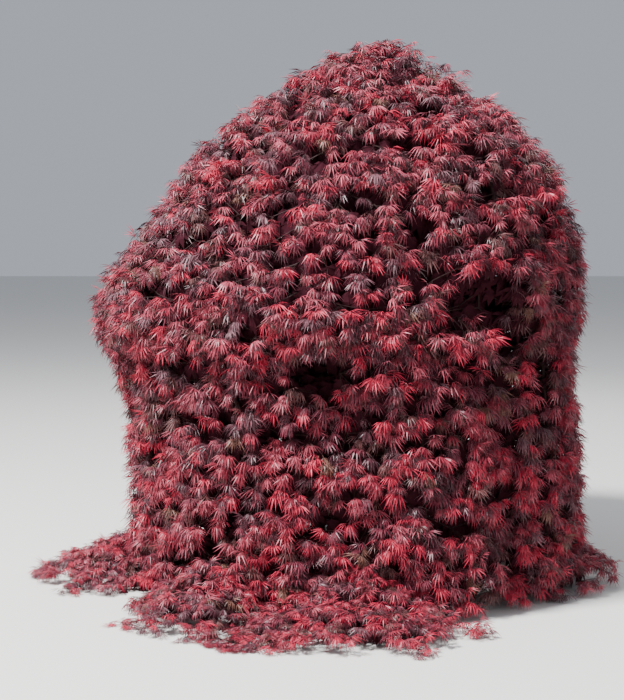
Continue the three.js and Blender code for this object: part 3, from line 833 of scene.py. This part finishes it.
def bark_material():
    """Old maple bark: grey-brown, dull, with shallow furrows that run along the limb."""
    material, tree, shader = new_material("maple_bark")
    place = add_node(tree, "ShaderNodeTexCoord").outputs["Object"]
    stretched = add_node(tree, "ShaderNodeMapping", {"Vector": place, "Scale": (1.0, 1.0, 0.22)})
    furrows = add_noise(tree, stretched, 12 * MM, detail=5.0, roughness=0.6)
    patches = add_noise(tree, place, 90 * MM)
    tone = add_node(tree, "ShaderNodeMath", {0: furrows, 1: patches}, operation="MULTIPLY")
    ramp = add_ramp(tree, tone, (0.10, "#2c221e"), (0.42, "#7d6a5c"))
    relief = add_node(tree, "ShaderNodeBump", {"Height": furrows, "Strength": 0.6, "Distance": 3 * MM})
    set_inputs(tree, shader, {"Base Color": ramp, "Normal": relief, "Roughness": 0.85})
    return material


def twig_material():
    """Young maple wood: smooth, dark red-brown, with a slight gloss."""
    material, tree, shader = new_material("maple_twig")
    place = add_node(tree, "ShaderNodeTexCoord").outputs["Object"]
    ramp = add_ramp(tree, add_noise(tree, place, 20 * MM), (0.0, "#1b0e0f"), (1.0, "#331a1a"))
    set_inputs(tree, shader, {"Base Color": ramp, "Specular IOR Level": 0.2, "Roughness": 0.7})
    return material


# Geometry Nodes


def new_growth_tree(name, sockets):
    """An empty tree with the named inputs besides its geometry, and the sockets that give them."""
    tree = bpy.data.node_groups.new(name, "GeometryNodeTree")
    for socket, kind in {"Geometry": "NodeSocketGeometry", **sockets}.items():
        tree.interface.new_socket(socket, in_out="INPUT", socket_type=kind)
    tree.interface.new_socket("Geometry", in_out="OUTPUT", socket_type="NodeSocketGeometry")
    return tree, add_node(tree, "NodeGroupInput").outputs


def end_tree(tree, mesh, material):
    """Realizes what the tree made, gives it its material and puts it out."""
    real = add_node(tree, "GeometryNodeRealizeInstances", {"Geometry": mesh})
    dressed = add_node(tree, "GeometryNodeSetMaterial", {"Geometry": real, "Material": material})
    add_node(tree, "NodeGroupOutput", {"Geometry": dressed})
    return tree


def add_attribute(tree, name, kind):
    return add_node(tree, "GeometryNodeInputNamedAttribute", {"Name": name}, data_type=kind)


def leaf_tree():
    """Leaves on points: each hangs along one vector and faces along another."""
    sockets = {"Leaf shapes": "NodeSocketCollection", "Material": "NodeSocketMaterial"}
    tree, given = new_growth_tree("leaves_on_shoots", sockets)
    hang = add_attribute(tree, "hang", "FLOAT_VECTOR")
    face = add_attribute(tree, "face", "FLOAT_VECTOR")
    turned = add_node(
        tree,
        "FunctionNodeAxesToRotation",
        {"Primary Axis": hang, "Secondary Axis": face},
        primary_axis="Y",
        secondary_axis="Z",
    )
    shapes = add_node(
        tree,
        "GeometryNodeCollectionInfo",
        {"Collection": given["Leaf shapes"], "Separate Children": True, "Reset Children": True},
    )
    leaves = add_node(
        tree,
        "GeometryNodeInstanceOnPoints",
        {
            "Points": given["Geometry"],
            "Instance": shapes,
            "Pick Instance": True,
            "Instance Index": add_attribute(tree, "shape", "INT"),
            "Rotation": turned,
            "Scale": add_attribute(tree, "size", "FLOAT"),
        },
    )
    # What would sink into the ground lies on it instead, and nothing changes sideways
    real = add_node(tree, "GeometryNodeRealizeInstances", {"Geometry": leaves})
    place = add_node(tree, "GeometryNodeInputPosition")
    least = (-10.0, -10.0, LEAST_HEIGHT)
    lying = add_node(tree, "ShaderNodeVectorMath", {0: place, 1: least}, operation="MAXIMUM")
    above = add_node(tree, "GeometryNodeSetPosition", {"Geometry": real, "Position": lying})
    return end_tree(tree, above, given["Material"])


def limb_tree():
    """Round limbs along paths, with the bark's relief pushed out of them."""
    sockets = {
        "Sides": "NodeSocketInt",
        "Ring spacing": "NodeSocketFloat",
        "Relief": "NodeSocketFloat",
        "Material": "NodeSocketMaterial",
    }
    tree, given = new_growth_tree("limbs_on_paths", sockets)
    paths = add_node(tree, "GeometryNodeMeshToCurve", {"Mesh": given["Geometry"]})
    spacing = {"Curve": paths, "Length": given["Ring spacing"]}
    ring = {"Resolution": given["Sides"], "Radius": 1.0}
    skin = add_node(
        tree,
        "GeometryNodeCurveToMesh",
        {
            "Curve": add_node(tree, "GeometryNodeResampleCurve", spacing, mode="LENGTH"),
            "Profile Curve": add_node(tree, "GeometryNodeCurvePrimitiveCircle", ring),
            "Scale": add_attribute(tree, "thickness", "FLOAT"),
            "Fill Caps": True,
        },
    )
    place = add_node(tree, "GeometryNodeInputPosition")
    drawn_out = {0: place, 1: (1.0, 1.0, 0.3)}
    stretched = add_node(tree, "ShaderNodeVectorMath", drawn_out, operation="MULTIPLY")
    bumps = add_noise(tree, stretched, 30 * MM)
    centred = add_node(tree, "ShaderNodeMapRange", {"Value": bumps, "To Min": -1.0, "To Max": 1.0})
    amount = add_node(tree, "ShaderNodeMath", {0: centred, 1: given["Relief"]}, operation="MULTIPLY")
    out = add_node(tree, "GeometryNodeInputNormal")
    push = add_node(tree, "ShaderNodeVectorMath", {0: out, "Scale": amount}, operation="SCALE")
    barked = add_node(tree, "GeometryNodeSetPosition", {"Geometry": skin, "Offset": push})
    return end_tree(tree, barked, given["Material"])


# Pieces


def new_mesh(name, points, edges=(), faces=()):
    mesh = bpy.data.meshes.new(name)
    mesh.from_pydata([tuple(point) for point in points], edges, faces)
    return mesh


def new_object(name, data):
    made = bpy.data.objects.new(name, data)
    bpy.context.scene.collection.objects.link(made)
    return made


def grown(name, tree, mesh, inputs):
    """What a growth tree makes of a mesh of paths or points, as a plain mesh of its own."""
    seedling = new_object(name + "_paths", mesh)
    modifier = seedling.modifiers.new("growth", "NODES")
    modifier.node_group = tree
    for item in tree.interface.items_tree:
        if item.in_out == "INPUT" and item.name in inputs:
            modifier[item.identifier] = inputs[item.name]
    graph = bpy.context.evaluated_depsgraph_get()
    plain = bpy.data.meshes.new_from_object(seedling.evaluated_get(graph))
    bpy.data.objects.remove(seedling)
    plain.name = name
    return new_object(name, plain)


def path_mesh(name, paths):
    """Paths of points with a radius each, as a mesh of edges."""
    points = [p for path in paths for p, _ in path]
    edges, start = [], 0
    for path in paths:
        edges += [(start + i, start + i + 1) for i in range(len(path) - 1)]
        start += len(path)
    mesh = new_mesh(name, points, edges)
    radius = mesh.attributes.new("thickness", "FLOAT", "POINT")
    radius.data.foreach_set("value", [r for path in paths for _, r in path])
    return mesh


def leaf_points(name, leaves):
    """A mesh of loose points, one for each leaf, with how it hangs, its size and its shape."""
    roots, hangs, faces, sizes, shapes = zip(*leaves)
    mesh = new_mesh(name, roots)
    for attribute, kind, field, values in (
        ("hang", "FLOAT_VECTOR", "vector", itertools.chain(*hangs)),
        ("face", "FLOAT_VECTOR", "vector", itertools.chain(*faces)),
        ("size", "FLOAT", "value", sizes),
        ("shape", "INT", "value", shapes),
    ):
        mesh.attributes.new(attribute, kind, "POINT").data.foreach_set(field, list(values))
    return mesh


# The lobes of a leaf: bearing in degrees, and length as a share of the middle one's
YOUNG_LOBES = ((-88, 0.50), (-56, 0.80), (-27, 0.95), (0, 1.0), (27, 0.95), (56, 0.80), (88, 0.50))
OLD_LOBES = ((-75, 0.6), (-36, 0.9), (0, 1.0), (36, 0.9), (75, 0.6))
# Where along its length a lobe is widest, and half its width there, as shares of its length
YOUNG_WIDEST = (0.46, 0.041)
OLD_WIDEST = (0.50, 0.170)
# Kinds of leaves: how far their lobes spread, as a share of those bearings, and how they droop
YOUNG_KINDS = ((0.95, 0.30), (0.72, 0.55), (0.60, 0.40), (0.82, 0.75))
OLD_KINDS = ((1.0, 0.3), (0.85, 0.5), (0.7, 0.4))
STALK = 0.17  # share of the leaf's length before its lobes part
STALK_HALF = 0.012  # half its stalk's width there


def along_lobe(fork, along, length, fall, share):
    """A place on a lobe's middle line, which bends down towards its tip."""
    place = fork + along * share * length * (1 - 0.25 * fall * share)
    place.z -= fall * length * share**1.8
    return place


def leaf_shape(name, lobes, widest, spreading, droop, seed):
    """A leaf of unit length along +Y: a stalk, and two faces for each lobe."""
    rng = random.Random(seed)
    fork = Vector((0, STALK, 0))
    points = [Vector((-STALK_HALF, STALK, 0)), Vector((STALK_HALF, STALK, 0)), Vector((0, 0, -0.02))]
    faces = [(0, 2, 1)]
    for bearing, length in lobes:
        turn = math.radians(bearing * spreading + rng.uniform(-4, 4))
        along = Vector((math.sin(turn), math.cos(turn), 0))
        across = Vector((along.y, -along.x, rng.uniform(-0.6, 0.6)))
        fall = droop * rng.uniform(0.75, 1.25) * (1 + 0.5 * abs(bearing) / 88)
        length *= (1 - STALK) * rng.uniform(0.92, 1.06)
        middle = along_lobe(fork, along, length, fall, widest[0])
        edge = across * widest[1] * length
        first = len(points)
        points += [fork, middle - edge, middle + edge, along_lobe(fork, along, length, fall, 1.0)]
        faces += [(first, first + 1, first + 2), (first + 1, first + 3, first + 2)]
    return bpy.data.objects.new(name, new_mesh(name, points, faces=faces))


def leaf_shapes(name, lobes, widest, kinds):
    shapes = bpy.data.collections.new(name)
    for i, kind in enumerate(kinds):
        shapes.objects.link(leaf_shape(f"{name}_{i}", lobes, widest, *kind, 40 + i))
    return shapes


def bark_relief(turn, height):
    """How far the trunk's bark stands out, as a share of its radius. At the ground it's smooth."""
    grain = Vector((math.cos(turn) * 3.2, math.sin(turn) * 3.2, height * 5))
    relief = noise.noise(grain) * 0.05 + abs(noise.noise(grain * 2.7)) * -0.045
    return relief * min(height / 0.02, 1)


def trunk_piece(material):
    """The trunk with its ridged flare and the bark's relief, in rings that are closer low down."""
    sides, rings = 72, 90
    points, faces = [], []
    for row in range(rings + 1):
        height = FORK_AT * (row / rings) ** 1.15
        flare = (1 - min(height / FLARE_HEIGHT, 1)) ** 2
        plain = lerp(lerp(TRUNK_RADIUS, FORK_RADIUS, height / FORK_AT), FLARE_RADIUS, flare)
        centre = trunk_axis(height)
        for k in range(sides):
            turn = k / sides * 2 * math.pi
            radius = plain * (1 + FLARE_RIDGE * flare * math.cos(ROOT_RIDGES * turn))
            radius *= 1 + bark_relief(turn, height)
            x, y = centre.x + math.cos(turn) * radius, centre.y + math.sin(turn) * radius
            points.append((x, y, height))
    for row in range(rings):
        for k in range(sides):
            a, b = row * sides + k, row * sides + (k + 1) % sides
            faces.append((a, b, b + sides, a + sides))
    faces.append(tuple(reversed(range(sides))))
    faces.append(tuple(range(rings * sides, (rings + 1) * sides)))
    mesh = new_mesh("trunk_bark", points, faces=faces)
    mesh.shade_smooth()
    mesh.materials.append(material)
    return new_object("trunk_bark", mesh)


def finish_piece(piece, slot, *nodes):
    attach(piece, "root")
    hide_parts(*nodes)


def dress_wood(boughs, twigs, masses):
    """The trunk, the boughs and the twigs in bark."""
    bark = bark_material()
    finish_piece(trunk_piece(bark), "bark", "trunk")
    limbs = limb_tree()
    paths = path_mesh("boughs", [bough.path(BOUGH_STEPS) for bough in boughs])
    rough = {"Sides": 12, "Ring spacing": 22 * MM, "Relief": 1.6 * MM, "Material": bark}
    finish_piece(grown("boughs_bark", limbs, paths, rough), "bark", *[bough.name for bough in boughs])
    smooth = {"Sides": 3, "Ring spacing": 55 * MM, "Relief": 0.0, "Material": twig_material()}
    finish_piece(grown("twigs", limbs, path_mesh("twigs", twigs), smooth), "bark", *masses)


def dress_leaves(leaves, masses):
    """The leaves of each tint, as one piece. The shade leaves are aged ones in a near-black tint that
    is painted shade, with no bloom.
    """
    tree = leaf_tree()
    young = leaf_shapes("laceleaf", YOUNG_LOBES, YOUNG_WIDEST, YOUNG_KINDS)
    old = leaf_shapes("old_leaf", OLD_LOBES, OLD_WIDEST, OLD_KINDS)
    for name, tint in TINTS.items():
        points = leaf_points(name, leaves[name])
        shapes, bloom = (old, 0.0) if name == "shade" else (young, 1.0)
        inputs = {"Leaf shapes": shapes, "Material": laceleaf_material(name, tint.colour, bloom)}
        finish_piece(grown(f"leaves_{name}", tree, points, inputs), tint.slot, *masses)


# Floor, light and camera

FLOOR_HALF = 60  # half the floor's width
LAMPS = (  # name, place, width, and power in watts
    ("key", (-4.55, -4.0, 9.2), 1.6, 3600),
    ("fill", (4.0, -7.0, 4.0), 4.0, 100),
    ("rim", (2.5, 6.0, 6.0), 4.0, 200),
)
LIT_POINT = (0, 0, 1.1)  # what every lamp faces

# The photograph's view: where the eye was, and in pixels the lens's focal length, the picture's
# height, and how far the horizon lies over its middle row
EYE = (-0.202, -6.3, 1.47)
FOCAL_PIXELS, PICTURE_PIXELS, HORIZON_PIXELS = 1400, 700, 105
SENSOR = 36  # millimetres


def add_floor():
    corners = [(x * FLOOR_HALF, y * FLOOR_HALF, 0) for x, y in ((-1, -1), (1, -1), (1, 1), (-1, 1))]
    floor_mesh = new_mesh("floor", corners, faces=[(0, 1, 2, 3)])
    material, tree, shader = new_material("pale_floor")
    set_inputs(tree, shader, {"Base Color": linear("#dcdad6"), "Roughness": 0.9})
    floor_mesh.materials.append(material)
    new_object("floor", floor_mesh)


def add_light():
    """A pale sky all round, and the lamps."""
    world = bpy.data.worlds.new("studio")
    world.use_nodes = True
    sky = {"Color": linear("#e6edfa"), "Strength": 0.54}
    set_inputs(world.node_tree, world.node_tree.nodes["Background"], sky)
    bpy.context.scene.world = world
    for name, place, width, power in LAMPS:
        light = bpy.data.lights.new(name, "AREA")
        light.energy, light.size = power, width
        lamp = new_object(name, light)
        lamp.location = place
        facing = Vector(LIT_POINT) - lamp.location
        lamp.rotation_euler = facing.to_track_quat("-Z", "Y").to_euler()


def add_camera():
    lens = bpy.data.cameras.new("camera")
    lens.lens, lens.sensor_width = SENSOR * FOCAL_PIXELS / PICTURE_PIXELS, SENSOR
    view = new_object("camera", lens)
    view.location = EYE
    view.rotation_euler = Euler((math.radians(90) - math.atan(HORIZON_PIXELS / FOCAL_PIXELS), 0, 0))
    bpy.context.scene.camera = view


def main():
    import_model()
    crown = crown_rib()
    cap, tiers, skirts = cap_mass(crown), tier_masses(crown), skirt_masses()
    boughs = grow_boughs(cap, tiers, skirts)
    hanging = [*itertools.chain(*tiers), *skirts]
    growth = Growth()
    grow_cap(growth, cap)
    for mass in hanging:
        grow_mass(growth, mass)
    masses = [mass.name for mass in (cap, *hanging)]
    dress_wood(boughs, growth.twigs, masses)
    dress_leaves(growth.leaves, masses)
    add_floor()
    add_light()
    add_camera()


main()
